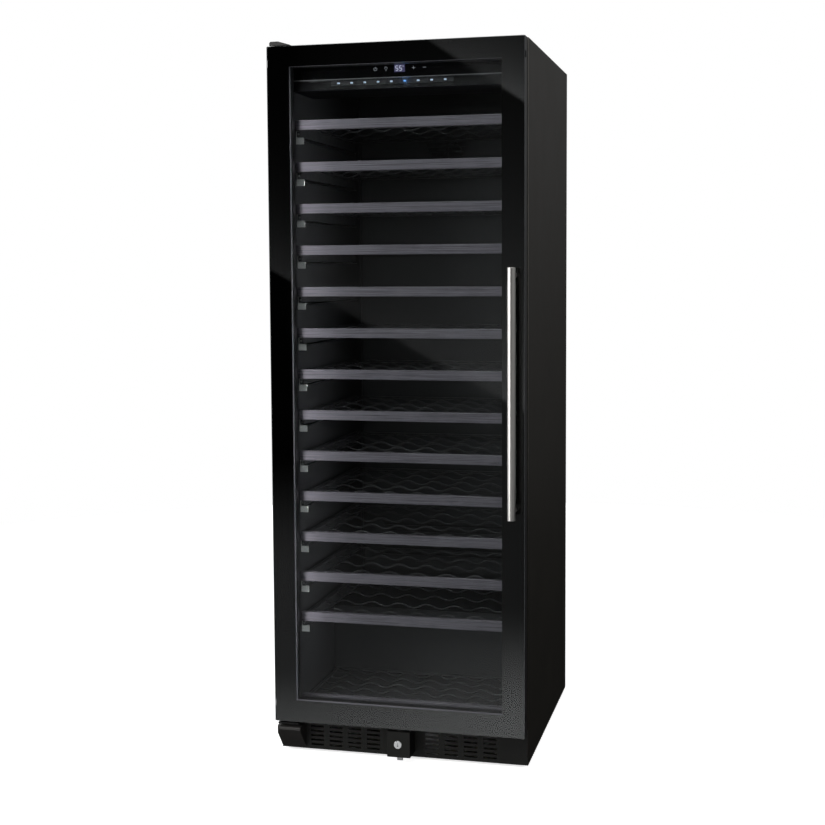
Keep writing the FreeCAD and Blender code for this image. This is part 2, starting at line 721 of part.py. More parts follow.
# ---- export -------------------------------------------------------------------------------
NODES = {
    "side_panels": side_panels,
    "top_panel": top_panel,
    "back_panel": back_panel,
    "base_pan": base_pan,
    "leveling_feet": leveling_feet,
    "insulation_foam": insulation_foam,
    "inner_liner": inner_liner,
    "front_frame": front_frame,
    "kick_grille": kick_grille,
    "lock_housing": lock_housing,
    "lock_barrel": lock_barrel,
    "lock_bolt": lock_bolt,
    "hinge_brackets": hinge_brackets,
    "top_hinge_cover": top_hinge_cover,
    "bottom_hinge_cover": bottom_hinge_cover,
    "door_outer_glass": door_outer_glass,
    "door_inner_glass": door_inner_glass,
    "glass_spacer": glass_spacer,
    "door_gasket": door_gasket,
    "door_frame": door_frame,
    "handle_bar": handle_bar,
    "handle_posts": handle_posts,
    "slide_rails": slide_rails,
    "bottom_rail": bottom_rail,
    "bottom_rack": bottom_rack,
    "control_panel": control_panel,
    "led_strip": led_strip,
    "air_duct_cover": air_duct_cover,
    "evaporator": evaporator,
    "evaporator_fan_blade": evaporator_fan_blade,
    "condenser": condenser,
    "condenser_fan_blade": condenser_fan_blade,
    "compressor": compressor,
    "cord_gland": cord_gland,
}


def place(shape, lift=0.0):
    placed = shape.copy()
    placed.translate(ROW_SHIFT + V(0, 0, lift))
    return placed


def export(name, shape):
    shape.exportStep(os.path.join("parts", name + ".step"))
    box_ = shape.BoundBox
    print(f"{name:24s} solids {len(shape.Solids):3d}  volume {shape.Volume / 1000:10.1f} cm3  "
          f"valid {shape.isValid()}  z {box_.ZMin:.1f}..{box_.ZMax:.1f}")


def main():
    os.makedirs("parts", exist_ok=True)
    for name, build in NODES.items():
        export(name, place(build()))
    rack, trim = shelf_rack(), front_rail(0, RAIL_HEIGHT)
    for number, top in enumerate(shelf_tops(), start=1):
        export(f"shelf_rack_{number:02d}", place(rack, top))
        export(f"shelf_trim_{number:02d}", place(trim, top))


main()
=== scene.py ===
import json
import math

import bmesh
import bpy
from mathutils import Matrix, Vector


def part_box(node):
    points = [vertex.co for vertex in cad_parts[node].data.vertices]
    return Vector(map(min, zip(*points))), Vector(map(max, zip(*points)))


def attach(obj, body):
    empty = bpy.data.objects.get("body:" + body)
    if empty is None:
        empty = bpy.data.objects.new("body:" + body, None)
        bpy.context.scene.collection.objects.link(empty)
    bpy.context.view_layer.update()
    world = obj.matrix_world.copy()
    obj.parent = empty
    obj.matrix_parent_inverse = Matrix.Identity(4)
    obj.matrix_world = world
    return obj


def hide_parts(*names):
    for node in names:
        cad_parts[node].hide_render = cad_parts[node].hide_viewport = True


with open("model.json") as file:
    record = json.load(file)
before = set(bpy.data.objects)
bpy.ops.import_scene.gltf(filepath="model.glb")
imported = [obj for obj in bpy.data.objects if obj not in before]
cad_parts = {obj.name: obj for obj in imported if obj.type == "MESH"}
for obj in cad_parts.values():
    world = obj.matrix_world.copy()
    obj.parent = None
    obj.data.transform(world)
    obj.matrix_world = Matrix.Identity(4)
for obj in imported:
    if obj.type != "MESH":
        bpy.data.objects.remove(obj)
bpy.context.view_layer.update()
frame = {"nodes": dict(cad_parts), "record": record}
NODES = frame["nodes"]
SLOTS = {part["node"]: part["material_slot"] for part in frame["record"]["subparts"]}

MM = 0.001
scene = bpy.context.scene


# ---- node trees ---------------------------------------------------------------------------
class Tree:
    """A node tree being built. Values are numbers, tuples or sockets."""

    def __init__(self, tree):
        self.tree = tree

    def node(self, kind, inputs=None, **options):
        made = self.tree.nodes.new("ShaderNode" + kind)
        for key, value in options.items():
            setattr(made, key, value)
        for key, value in (inputs or {}).items():
            self.feed(made.inputs[key], value)
        return made

    def feed(self, socket, value):
        if isinstance(value, bpy.types.NodeSocket):
            self.tree.links.new(value, socket)
        else:
            socket.default_value = value

    def math(self, operation, *values, clamp=False):
        inputs = dict(enumerate(values))
        return self.node("Math", inputs, operation=operation, use_clamp=clamp).outputs[0]

    def place(self):
        return self.node("TexCoord").outputs["Object"]

    def axes(self):
        return self.node("SeparateXYZ", {0: self.place()}).outputs

    def noise(self, scale, detail=2.0, rough=0.5, stretch=(1, 1, 1)):
        mapped = self.node("Mapping", {"Vector": self.place(), "Scale": stretch}).outputs[0]
        values = {"Vector": mapped, "Scale": scale, "Detail": detail, "Roughness": rough}
        return self.node("TexNoise", values).outputs["Fac"]

    def ramp(self, factor, stops, ease="LINEAR"):
        made = self.node("ValToRGB", {0: factor})
        made.color_ramp.interpolation = ease
        elements = made.color_ramp.elements
        while len(elements) < len(stops):
            elements.new(0.5)
        for element, (at, colour) in zip(elements, stops):
            element.position = at
            element.color = (*colour, 1) if len(colour) == 3 else colour
        return made.outputs["Color"]

    def between(self, value, low, high):
        """1 where low < value < high, else 0."""
        above = self.math("GREATER_THAN", value, low)
        return self.math("MULTIPLY", above, self.math("LESS_THAN", value, high))

    def span(self, value, start, end, low=0.0, high=1.0, kind="LINEAR"):
        inputs = {"Value": value, "From Min": start, "From Max": end, "To Min": low, "To Max": high}
        return self.node("MapRange", inputs, interpolation_type=kind).outputs[0]

    def mix(self, factor, a, b):
        inputs = {"Factor": factor, 6: a, 7: b}
        return self.node("Mix", inputs, data_type="RGBA").outputs[2]

    def bump(self, height, distance, strength=1.0, normal=None):
        inputs = {"Height": height, "Distance": distance, "Strength": strength}
        if normal is not None:
            inputs["Normal"] = normal
        return self.node("Bump", inputs).outputs[0]


class Surface(Tree):
    """A Principled material. Constants go straight on the shader's own sockets."""

    def __init__(self, name, **constants):
        self.material = bpy.data.materials.new(name)
        self.material.use_nodes = True
        super().__init__(self.material.node_tree)
        self.shader = self.tree.nodes["Principled BSDF"]
        self.output = self.tree.nodes["Material Output"]
        for key, value in constants.items():
            self.set(key.replace("_", " "), value)

    def set(self, key, value):
        self.feed(self.shader.inputs[key], value)
        return self


def colour(*rgb):
    return (*rgb, 1.0)


def grey(value):
    return (value, value, value)


# ---- finishes -----------------------------------------------------------------------------
def coated(name, dark, light, rough, grain, depth, patches=7.0, **constants):
    """Paint, moulded plastic or rubber: faint patches of tone and a fine all-over grain."""
    made = Surface(name, **constants)
    patch = made.noise(patches, 4.0, 0.6)
    made.set("Base Color", made.ramp(patch, [(0.3, dark), (0.7, light)]))
    fine = made.noise(grain, 3.0, 0.6)
    blend = made.math("ADD", made.math("MULTIPLY", fine, 0.6), made.math("MULTIPLY", patch, 0.4))
    made.set("Roughness", made.span(blend, 0.3, 0.7, *rough))
    made.set("Normal", made.bump(fine, depth))
    return made


def brushed(name, dark, light, rough, stretch, depth, **constants):
    """Metal with fine straight strokes; stretch is small along the strokes."""
    made = Surface(name, Metallic=1.0, **constants)
    strokes = made.noise(1.0, 3.0, 0.7, stretch)
    cloud = made.noise(9.0, 2.0)
    both = made.math("ADD", made.math("MULTIPLY", strokes, 0.75), made.math("MULTIPLY", cloud, 0.25))
    made.set("Base Color", made.ramp(both, [(0.3, dark), (0.7, light)]))
    made.set("Roughness", made.span(both, 0.3, 0.7, *rough))
    made.set("Normal", made.bump(strokes, depth))
    return made


def plated(name, dark, light, rough):
    """Zinc or nickel plating with its mottled crystal tone."""
    made = Surface(name, Metallic=1.0)
    cells = {"Vector": made.place(), "Scale": 170.0}
    spangle = made.node("TexVoronoi", cells).outputs["Color"]
    tone = made.node("SeparateXYZ", {0: spangle}).outputs[0]
    both = made.math("ADD", made.math("MULTIPLY", tone, 0.5), made.math("MULTIPLY", made.noise(40.0), 0.5))
    made.set("Base Color", made.ramp(both, [(0.2, dark), (0.8, light)]))
    made.set("Roughness", made.span(both, 0.2, 0.8, *rough))
    made.set("Normal", made.bump(made.noise(900.0, 3.0), 0.00001))
    return made


GLASS_EDGE = 0.29715


def pane_glass(name):
    """Clear pane: see-through, with a weak mirror that grows at a slant, and ground outer edges."""
    made = Surface(name, Base_Color=colour(0.93, 0.92, 0.92), Metallic=1.0, Roughness=0.0)
    wave = made.bump(made.noise(5.0, 1.0), 0.00006)
    made.set("Normal", wave)
    clear = made.node("BsdfTransparent")
    tint = made.noise(2.5, 2.0)
    faint_green = made.ramp(tint, [(0.3, (0.93, 0.94, 0.94)), (0.7, (0.95, 0.96, 0.96))])
    made.feed(clear.inputs["Color"], faint_green)
    slant = made.node("LayerWeight", {"Blend": 0.5}).outputs["Facing"]
    mirror = made.math("MULTIPLY_ADD", made.math("POWER", slant, 5.0), 0.6, 0.009)
    mixed = made.node("MixShader", {0: mirror, 1: clear.outputs[0], 2: made.shader.outputs[0]})
    ground = made.node("BsdfPrincipled", {"Roughness": 0.32})
    frosted = made.ramp(tint, [(0.3, (0.10, 0.11, 0.115)), (0.7, (0.13, 0.14, 0.145))])
    made.feed(ground.inputs["Base Color"], frosted)
    at_edge = made.math("GREATER_THAN", made.math("ABSOLUTE", made.axes()[0]), GLASS_EDGE)
    edged = made.node("MixShader", {0: at_edge, 1: mixed.outputs[0], 2: ground.outputs[0]})
    made.feed(made.output.inputs["Surface"], edged.outputs[0])
    return made


def header_finish():
    """Gloss black fascia, a pale trim lip along its lower edge and a satin lamp box below."""
    made = Surface("header_finish", Specular_IOR_Level=0.25)
    z = made.axes()[2]
    lip = made.between(z, 1.5829, 1.5851)
    below = made.math("LESS_THAN", z, 1.583)
    tone = made.noise(30.0, 3.0)
    black = made.ramp(tone, [(0.3, (0.0018, 0.0018, 0.0022)), (0.7, (0.003, 0.003, 0.0036))])
    grey = made.ramp(tone, [(0.3, (0.16, 0.16, 0.17)), (0.7, (0.24, 0.24, 0.25))])
    made.set("Base Color", made.mix(lip, black, grey))
    grain = made.noise(900.0, 2.0)
    rough = made.math("ADD", made.span(grain, 0.3, 0.7, 0.1, 0.16), made.math("MULTIPLY", below, 0.3))
    made.set("Roughness", rough)
    made.set("Normal", made.bump(grain, 0.000008))
    return made


# the blue lamp's place on the strip, and the plane that only the lens domes stand in front of
LAMP_X = 0.0095
LAMP_Z = 1.576
DOME_BASE = -0.24262


def lamp_finish():
    """White circuit strip; the lens domes that stand proud of it glow, the middle one blue."""
    made = Surface("lamp_finish", Specular_IOR_Level=0.5)
    x, y, z = made.axes()
    proud = made.math("LESS_THAN", y, DOME_BASE)
    dome = made.math("MULTIPLY", proud, made.between(z, LAMP_Z - 0.0019, LAMP_Z + 0.0016))
    blue = made.between(x, LAMP_X - 0.006, LAMP_X + 0.006)
    tone = made.noise(260.0, 3.0)
    made.set("Base Color", made.ramp(tone, [(0.3, (0.005, 0.005, 0.007)), (0.7, (0.009, 0.009, 0.012))]))
    made.set("Roughness", made.span(tone, 0.3, 0.7, 0.3, 0.45))
    made.set("Emission Color", made.mix(blue, colour(0.62, 0.78, 1.0), colour(0.2, 0.5, 1.0)))
    made.set("Emission Strength", made.math("MULTIPLY", dome, made.span(tone, 0.2, 0.8, 0.75, 1.0)))
    return made


# where the painted highlight on the side sheet's fold goes: in front of this plane, and further out than
# this
SHEET_FRONT = -0.2612
FOLD_X = 0.2964


def body_finish():
    """Satin powder coat with a warm tinge; a highlight is painted on the fold at the front of the side
    walls, full above 1.3 m and fading out by 0.5 m.
    """
    made = Surface("body_black", Specular_Tint=colour(1.0, 0.93, 0.82))
    patch = made.noise(7.0, 4.0, 0.6)
    fine = made.noise(1300.0, 3.0, 0.6)
    coat = made.ramp(patch, [(0.3, (0.0085, 0.0076, 0.0062)), (0.7, (0.012, 0.0108, 0.0088))])
    x, y, z = made.axes()
    at_front, outermost = made.math("LESS_THAN", y, SHEET_FRONT), made.math("GREATER_THAN", x, FOLD_X)
    corner = made.math("MULTIPLY", at_front, outermost)
    # painted highlight along the front fold of the side sheets, fading out towards the bottom
    fold_highlight = made.math("MULTIPLY", corner, made.span(z, 0.5, 1.3))
    made.set("Base Color", made.mix(fold_highlight, coat, colour(0.22, 0.21, 0.19)))
    both = made.math("ADD", made.math("MULTIPLY", fine, 0.6), made.math("MULTIPLY", patch, 0.4))
    made.set("Roughness", made.span(both, 0.3, 0.7, 0.38, 0.48))
    made.set("Normal", made.bump(fine, 0.00003))
    return made


def back_finish():
    """Upper sheet in satin black with faint roll marks; the lower louvred cover is duller."""
    made = Surface("back_finish", Specular_IOR_Level=0.4)
    cover = made.math("LESS_THAN", made.axes()[1], 0.3524)
    rolled = made.noise(1.0, 3.0, 0.6, (300, 300, 3))
    patch = made.noise(5.0, 4.0)
    both = made.math("ADD", made.math("MULTIPLY", rolled, 0.4), made.math("MULTIPLY", patch, 0.6))
    sheet = made.ramp(both, [(0.35, (0.034, 0.034, 0.035)), (0.65, (0.048, 0.048, 0.049))])
    dull = made.ramp(both, [(0.35, (0.022, 0.022, 0.023)), (0.65, (0.032, 0.032, 0.033))])
    made.set("Base Color", made.mix(cover, sheet, dull))
    made.set("Roughness", made.span(both, 0.35, 0.65, 0.38, 0.5))
    made.set("Normal", made.bump(made.noise(1100.0, 3.0), 0.000015))
    return made


def wire_finish():
    """Black vinyl coated wire deck between zinc plated slide members at the sides."""
    made = Surface("wire_finish")
    x, y, _ = made.axes()
    side = made.math("GREATER_THAN", made.math("ABSOLUTE", x), 0.2471)
    block = made.math("MULTIPLY", side, made.math("LESS_THAN", y, -0.206))
    tone = made.noise(60.0, 3.0)
    vinyl = made.ramp(tone, [(0.3, (0.010, 0.010, 0.011)), (0.7, (0.02, 0.02, 0.021))])
    zinc = made.ramp(tone, [(0.3, (0.30, 0.30, 0.31)), (0.7, (0.42, 0.42, 0.43))])
    nylon = made.ramp(tone, [(0.3, (0.11, 0.11, 0.115)), (0.7, (0.14, 0.14, 0.145))])
    made.set("Base Color", made.mix(block, made.mix(side, vinyl, zinc), nylon))
    made.set("Metallic", made.math("SUBTRACT", side, block))
    made.set("Roughness", made.span(tone, 0.3, 0.7, 0.28, 0.42))
    made.set("Normal", made.bump(made.noise(700.0, 2.0), 0.00001))
    return made


def slide_finish():
    """Zinc plated slides; the tab turned down at the front end is capped in white nylon."""
    made = Surface("slide_finish")
    cap = made.math("LESS_THAN", made.axes()[1], -0.2208)
    tone = made.noise(90.0, 3.0)
    zinc = made.ramp(tone, [(0.3, (0.40, 0.41, 0.42)), (0.7, (0.56, 0.56, 0.57))])
    nylon = made.ramp(tone, [(0.3, (0.74, 0.74, 0.73)), (0.7, (0.82, 0.82, 0.81))])
    made.set("Base Color", made.mix(cap, zinc, nylon))
    made.set("Metallic", made.math("SUBTRACT", 1.0, cap))
    made.set("Roughness", made.span(tone, 0.3, 0.7, 0.3, 0.42))
    made.set("Normal", made.bump(made.noise(900.0, 2.0), 0.00001))
    return made


def hinge_finish():
    """Zinc plated plate at the top; at the foot the steel is painted near black as shade, where the lower
    hinge sits under the door.
    """
    made = Surface("hinge_steel", Metallic=1.0)
    # painted shade: everything below 0.2 m is coloured near black
    shaded_foot = made.math("LESS_THAN", made.axes()[2], 0.2)
    tone = made.noise(120.0, 3.0)
    zinc = made.ramp(tone, [(0.3, (0.30, 0.28, 0.25)), (0.7, (0.44, 0.41, 0.37))])
    black = made.ramp(tone, [(0.3, (0.02, 0.02, 0.02)), (0.7, (0.04, 0.04, 0.04))])
    made.set("Base Color", made.mix(shaded_foot, zinc, black))
    made.set("Roughness", made.span(tone, 0.3, 0.7, 0.3, 0.42))
    made.set("Normal", made.bump(made.noise(900.0, 3.0), 0.00001))
    return made


def coil_finish():
    """Aluminium fins with a faint grain across them."""
    made = Surface("coil", Metallic=1.0)
    strokes = made.noise(1.0, 3.0, 0.6, (40, 400, 400))
    made.set("Base Color", made.ramp(strokes, [(0.3, (0.5, 0.51, 0.52)), (0.7, (0.68, 0.69, 0.7))]))
    made.set("Roughness", made.span(strokes, 0.3, 0.7, 0.3, 0.45))
    made.set("Normal", made.bump(strokes, 0.00001))
    return made


def glow(name, rgb, strength, base=0.2):
    """Backlit print on the header."""
    made = Surface(name, Roughness=0.3)
    dim, bright = (base, base, 1.1 * base), (1.25 * base, 1.25 * base, 1.35 * base)
    made.set("Base Color", made.ramp(made.noise(400.0), [(0.3, dim), (0.7, bright)]))
    made.set("Emission Color", colour(*rgb))
    made.set("Emission Strength", made.span(made.noise(300.0), 0.3, 0.7, strength * 0.9, strength * 1.1))
    return made


FINISHES = {
    "body_black": body_finish(),
    "rear_black": back_finish(),
    "galvanised": plated("galvanised", (0.34, 0.35, 0.36), (0.5, 0.51, 0.52), (0.4, 0.55)),
    "foot_rubber": coated("foot_rubber", grey(0.012), grey(0.022), (0.6, 0.75), 500.0, 0.00005),
    "foam": coated("foam", (0.5, 0.42, 0.22), (0.62, 0.54, 0.32), (0.85, 0.95), 260.0, 0.0004),
    "liner_black": coated(
        "liner_black", (0.011, 0.011, 0.012), (0.016, 0.016, 0.017), (0.42, 0.55), 900.0, 0.00004,
    ),
    "frame_black": coated("frame_black", grey(0.007), grey(0.011), (0.35, 0.45), 800.0, 0.00002),
    "kick_black": coated(
        "kick_black", (0.004, 0.0041, 0.0034), (0.0065, 0.0067, 0.0058), (0.42, 0.54), 1200.0, 0.00003,
        Specular_IOR_Level=0.25,
    ),
    "lock_chrome": plated("lock_chrome", (0.55, 0.56, 0.57), (0.72, 0.73, 0.74), (0.14, 0.24)),
    "zinc": plated("zinc", (0.45, 0.46, 0.47), (0.62, 0.62, 0.63), (0.28, 0.42)),
    "hinge_steel": hinge_finish(),
    "cover_plastic": coated(
        "cover_plastic", (0.014, 0.013, 0.012), (0.02, 0.0185, 0.0175), (0.55, 0.65), 700.0, 0.00004,
    ),
    "glass": pane_glass("pane_glass"),
    "spacer_grey": coated(
        "spacer_grey", (0.2, 0.19, 0.215), (0.25, 0.24, 0.265), (0.4, 0.5), 300.0, 0.00001,
    ),
    "gasket": coated("gasket", grey(0.010), grey(0.016), (0.55, 0.68), 600.0, 0.00003),
    "door_black": coated("door_black", grey(0.007), grey(0.011), (0.3, 0.42), 900.0, 0.00002),
    "handle_steel": brushed(
        "handle_steel", (0.55, 0.54, 0.52), (0.7, 0.69, 0.66), (0.26, 0.36), (1400, 1400, 14), 0.000006,
    ),
    "rail_metal": brushed(
        "rail_metal", (0.145, 0.131, 0.154), (0.2, 0.184, 0.211), (0.24, 0.32), (6, 500, 1500), 0.000004,
    ),
    "wire_black": wire_finish(),
    "panel_gloss": header_finish(),
    "lamp": lamp_finish(),
    "slide": slide_finish(),
    "coil": coil_finish(),
    "black_coil": coated("black_coil", grey(0.012), (0.02, 0.02, 0.019), (0.4, 0.55), 400.0, 0.00003),
    "fan_plastic": coated(
        "fan_plastic", (0.03, 0.03, 0.031), (0.045, 0.045, 0.046), (0.4, 0.5), 500.0, 0.00003,
    ),
    "compressor_black": coated(
        "compressor_black", grey(0.010), grey(0.016), (0.22, 0.32), 90.0, 0.00012,
    ),
}

# the shelf fronts are brushed lengthwise, which spreads their sheen up and down
rails = FINISHES["rail_metal"]
rails.set("Metallic", 0.45)
rails.set("Anisotropic", 0.6)
rails.set("Tangent", rails.node("Tangent", direction_type="RADIAL", axis="X").outputs[0])

# two nodes look different from the rest of their slot
OWN_FINISH = {"slide_rails": "slide", "condenser": "black_coil"}
for name, thing in NODES.items():
    thing.data.materials.clear()
    thing.data.materials.append(FINISHES[OWN_FINISH.get(name, SLOTS[name])].material)


# ---- mesh pieces --------------------------------------------------------------------------
def piece(name, bm, body, finish, replaces=(), smooth=None):
    bmesh.ops.recalc_face_normals(bm, faces=bm.faces)
    data = bpy.data.meshes.new(name)
    bm.to_mesh(data)
    bm.free()
    if smooth is not None:
        data.polygons.foreach_set("use_smooth", [True] * len(data.polygons))
        data.set_sharp_from_angle(angle=math.radians(smooth))
    data.materials.append(finish.material)
    made = bpy.data.objects.new(name, data)
    scene.collection.objects.link(made)
    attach(made, body)
    if replaces:
        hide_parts(*replaces)
    return made


def flat_shapes(outlines, front, thickness):
    """Thin plates in the XZ plane from outlines of (x, z), facing -Y, all in millimetres."""
    bm = bmesh.new()
    for outline in outlines:
        rings = [
            [bm.verts.new((x * MM, y * MM, z * MM)) for x, z in outline]
            for y in (front, front + thickness)
        ]
        bm.faces.new(rings[0])
        bm.faces.new(rings[1])
        for i in range(len(outline)):
            j = (i + 1) % len(outline)
            bm.faces.new((rings[0][i], rings[0][j], rings[1][j], rings[1][i]))
    return bm


def rectangle(x0, x1, z0, z1):
    return [(x0, z0), (x1, z0), (x1, z1), (x0, z1)]


def arc_band(cx, cz, radius, width, start, end, steps=20):
    """Quads along an arc, angles in degrees from +X."""
    quads = []
    for i in range(steps):
        a, b = (math.radians(start + (end - start) * k / steps) for k in (i, i + 1))
        inner, outer = radius - width / 2, radius + width / 2
        quads.append([
            (cx + inner * math.cos(a), cz + inner * math.sin(a)),
            (cx + outer * math.cos(a), cz + outer * math.sin(a)),
            (cx + outer * math.cos(b), cz + outer * math.sin(b)),
            (cx + inner * math.cos(b), cz + inner * math.sin(b)),
        ])
    return quads


def swept_ring(profile, half, low, high):
    """A profile of (outwards, y) carried round a rectangle with mitred corners, in millimetres."""
    bm = bmesh.new()
    loops = []
    for out, y in profile:
        corners = rectangle(-half - out, half + out, low - out, high + out)
        loops.append([bm.verts.new((x * MM, y * MM, z * MM)) for x, z in corners])
    for i, loop in enumerate(loops):
        following = loops[(i + 1) % len(loops)]
        for k in range(4):
            m = (k + 1) % 4
            bm.faces.new((loop[k], loop[m], following[m], following[k]))
    return bm


def screw_heads(spots, radius, height):
    """Pan heads with a cross recess. spots are (centre, outward direction) in millimetres."""
    bm = bmesh.new()
    rings = ((1.0, 0.0), (1.0, 0.3), (0.9, 0.68), (0.72, 0.92), (0.62, 1.0))
    arm, reach = 0.13 * radius, 0.5 * radius
    cross = [
        (arm, arm), (arm, reach), (-arm, reach), (-arm, arm), (-reach, arm), (-reach, -arm),
        (-arm, -arm), (-arm, -reach), (arm, -reach), (arm, -arm), (reach, -arm), (reach, arm),
    ]
    steps = 20
    circle = [(math.cos(math.tau * i / steps), math.sin(math.tau * i / steps)) for i in range(steps)]
    for centre, outward in spots:
        turn = Vector(outward).to_track_quat("Z", "Y").to_matrix().to_4x4()
        seat = Matrix.Translation(Vector(centre) * MM) @ turn @ Matrix.Scale(MM, 4)

        def vert(x, y, z):
            return bm.verts.new(seat @ Vector((x, y, z)))

        loops = [[vert(radius * r * c, radius * r * s, height * h) for c, s in circle] for r, h in rings]
        for lower, upper in zip(loops, loops[1:]):
            for i in range(steps):
                j = (i + 1) % steps
                bm.faces.new((lower[i], lower[j], upper[j], upper[i]))
        bm.faces.new(loops[0])
        top = [vert(x, y, height) for x, y in cross]
        floor = [vert(x * 0.7, y * 0.7, height * 0.35) for x, y in cross]
        corners = len(cross)
        for i in range(corners):
            j = (i + 1) % corners
            bm.faces.new((top[i], top[j], floor[j], floor[i]))
        bm.faces.new(floor)
        rim = [bm.edges.get((loops[-1][i], loops[-1][(i + 1) % steps])) for i in range(steps)]
        inner = [bm.edges.get((top[i], top[(i + 1) % corners])) for i in range(corners)]
        bmesh.ops.triangle_fill(bm, edges=rim + inner, use_beauty=True)
    return bm


# ---- door pieces --------------------------------------------------------------------------
def corners_mm(node):
    return [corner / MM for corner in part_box(node)]


glass_low, glass_high = corners_mm("door_outer_glass")
inner_low, inner_high = corners_mm("door_inner_glass")
WINDOW_LAP = 15.5
window_half = inner_high.x - WINDOW_LAP
window_z = inner_low.z + WINDOW_LAP, inner_high.z - WINDOW_LAP

print_finish = coated(
    "border_enamel", (0.0004, 0.0004, 0.0004), (0.0008, 0.0008, 0.0008), (0.0, 0.012), 500.0, 0.0000002,
    Specular_IOR_Level=0.7,
)
print_back = glass_high.y + 0.1
edge_inset = 0.8
outer_half = glass_high.x - edge_inset
outer_low, outer_high = glass_low.z + edge_inset, glass_high.z - edge_inset
bars = [
    rectangle(-outer_half, -window_half, outer_low, outer_high),
    rectangle(window_half, outer_half, outer_low, outer_high),
    rectangle(-window_half, window_half, outer_low, window_z[0]),
    rectangle(-window_half, window_half, window_z[1], outer_high),
]
piece("door_border_print", flat_shapes(bars, print_back, 0.15), "door", print_finish)

gasket_low, gasket_high = corners_mm("door_gasket")
GASKET_MID = 7.5
back = gasket_low.y
bellows = [
    (-7, 0), (7, 0), (7, 1.6), (4, 1.8), (5.8, 3.4), (4.2, 4.6), (6, 5.8), (6.2, 10.8), (5.4, 11.7),
    (-5.4, 11.7), (-6.2, 10.8), (-6, 5.8), (-4.2, 4.6), (-5.8, 3.4), (-4, 1.8), (-7, 1.6),
]
gasket = swept_ring(
    [(out, back + y) for out, y in bellows],
    gasket_high.x - GASKET_MID, gasket_low.z + GASKET_MID, gasket_high.z - GASKET_MID,
)
piece("door_seal_bellows", gasket, "door", FINISHES["gasket"], ["door_gasket"], smooth=35)


# ---- header print -------------------------------------------------------------------------
FASCIA_SETBACK = 2
PRINT_STAND = 0.12
fascia = corners_mm("control_panel")[0].y + FASCIA_SETBACK - PRINT_STAND
ICON_Z = 1604.0

SEGMENTS = {
    "top": (0, 1), "middle": (0, 0), "bottom": (0, -1),
    "upper_left": (-1, 0.5), "upper_right": (1, 0.5), "lower_left": (-1, -0.5), "lower_right": (1, -0.5),
}
FIVE = ("top", "upper_left", "middle", "lower_right", "bottom")


def digit(x, z, half_w, half_h, width, lit):
    """Seven segment figure; each segment is a bar with pointed ends."""
    shapes = []
    half = width / 2
    for name in lit:
        sx, sz = SEGMENTS[name]
        cx, cz = x + sx * half_w, z + sz * half_h
        if sx == 0:
            reach = half_w - width * 0.2
            a, b = cx - reach, cx + reach
            lower = [(a, cz), (a + half, cz - half), (b - half, cz - half)]
            upper = [(b, cz), (b - half, cz + half), (a + half, cz + half)]
        else:
            reach = half_h / 2 - width * 0.2
            a, b = cz - reach, cz + reach
            lower = [(cx, a), (cx + half, a + half), (cx + half, b - half)]
            upper = [(cx, b), (cx - half, b - half), (cx - half, a + half)]
        shapes.append(lower + upper)
    return shapes


def header_piece(name, outlines, finish):
    piece(name, flat_shapes(outlines, fascia, PRINT_STAND - 0.02), "cabinet", finish)


display_glow = glow("display_glow", (0.8, 0.82, 1.0), 0.95)
window_glow = glow("window_glow", (0.34, 0.3, 0.8), 0.13, base=0.05)
icon_glow = glow("icon_glow", (0.75, 0.8, 0.88), 0.28)
figures = digit(-7.5, ICON_Z, 2.7, 5.2, 1.3, FIVE) + digit(1.3, ICON_Z, 2.7, 5.2, 1.3, FIVE)
degree = arc_band(7.2, ICON_Z + 4.4, 1.0, 0.6, 0, 360, 12)
header_piece("temperature_figures", figures + degree, display_glow)
window = flat_shapes([rectangle(-13.5, 11.5, ICON_Z - 8.5, ICON_Z + 8.5)], fascia + 0.08, 0.03)
piece("display_window", window, "cabinet", window_glow)
power = arc_band(-58, ICON_Z, 3.6, 0.9, 125, 415) + [rectangle(-58.45, -57.55, ICON_Z + 0.4, ICON_Z + 4.8)]
header_piece("power_icon", power, icon_glow)
bulb = arc_band(-33, ICON_Z + 1.2, 2.8, 0.8, -50, 230) + [
    rectangle(-34.6, -31.4, ICON_Z - 2.6, ICON_Z - 1.8), rectangle(-34.1, -31.9, ICON_Z - 4.4, ICON_Z - 3.6),
]
header_piece("lamp_icon", bulb, icon_glow)
plus = [
    rectangle(28.4, 35.6, ICON_Z - 0.45, ICON_Z + 0.45),
    rectangle(31.55, 32.45, ICON_Z - 3.6, ICON_Z - 0.5), rectangle(31.55, 32.45, ICON_Z + 0.5, ICON_Z + 3.6),
]
header_piece("raise_icon", plus, icon_glow)
header_piece("lower_icon", [rectangle(53.4, 60.6, ICON_Z - 0.45, ICON_Z + 0.45)], icon_glow)

# ---- fixings ------------------------------------------------------------------------------
steel_screw = brushed("screw_steel", grey(0.4), grey(0.55), (0.25, 0.38), (600, 600, 600), 0.00001)
black_screw = coated("screw_black", grey(0.02), (0.035, 0.035, 0.034), (0.28, 0.4), 900.0, 0.00002)

# countersunk heads all but flush with the back sheet, and pan heads on the sunken louvred cover
COVER_SUNK = 14
back_high = corners_mm("back_panel")[1]
rear = back_high.y
flush_spots = [((x, rear, z), (0, 1, 0)) for x in (-284, 284) for z in range(300, 1640, 190)]
flush_spots += [((x, rear, back_high.z - 9), (0, 1, 0)) for x in (-170, 0, 170)]
cover_rear = rear - COVER_SUNK
rear_spots = [((x, cover_rear, z), (0, 1, 0)) for x in (-286, 286) for z in (34, 150, 262)]
piece("rear_screws", screw_heads(rear_spots, 3.8, 2.2), "cabinet", steel_screw, smooth=40)
flush_heads = screw_heads(flush_spots, 3.8, 0.3)
piece("back_panel_screws", flush_heads, "cabinet", steel_screw, smooth=40)

KICK_SHEET = 1.5
kick_face = corners_mm("kick_grille")[1].y - KICK_SHEET
kick_spots = [((x, kick_face, z), (0, -1, 0)) for x, z in ((222, 74), (-196, 74))]
piece("kick_screws", screw_heads(kick_spots, 2.6, 1.2), "cabinet", black_screw, smooth=40)

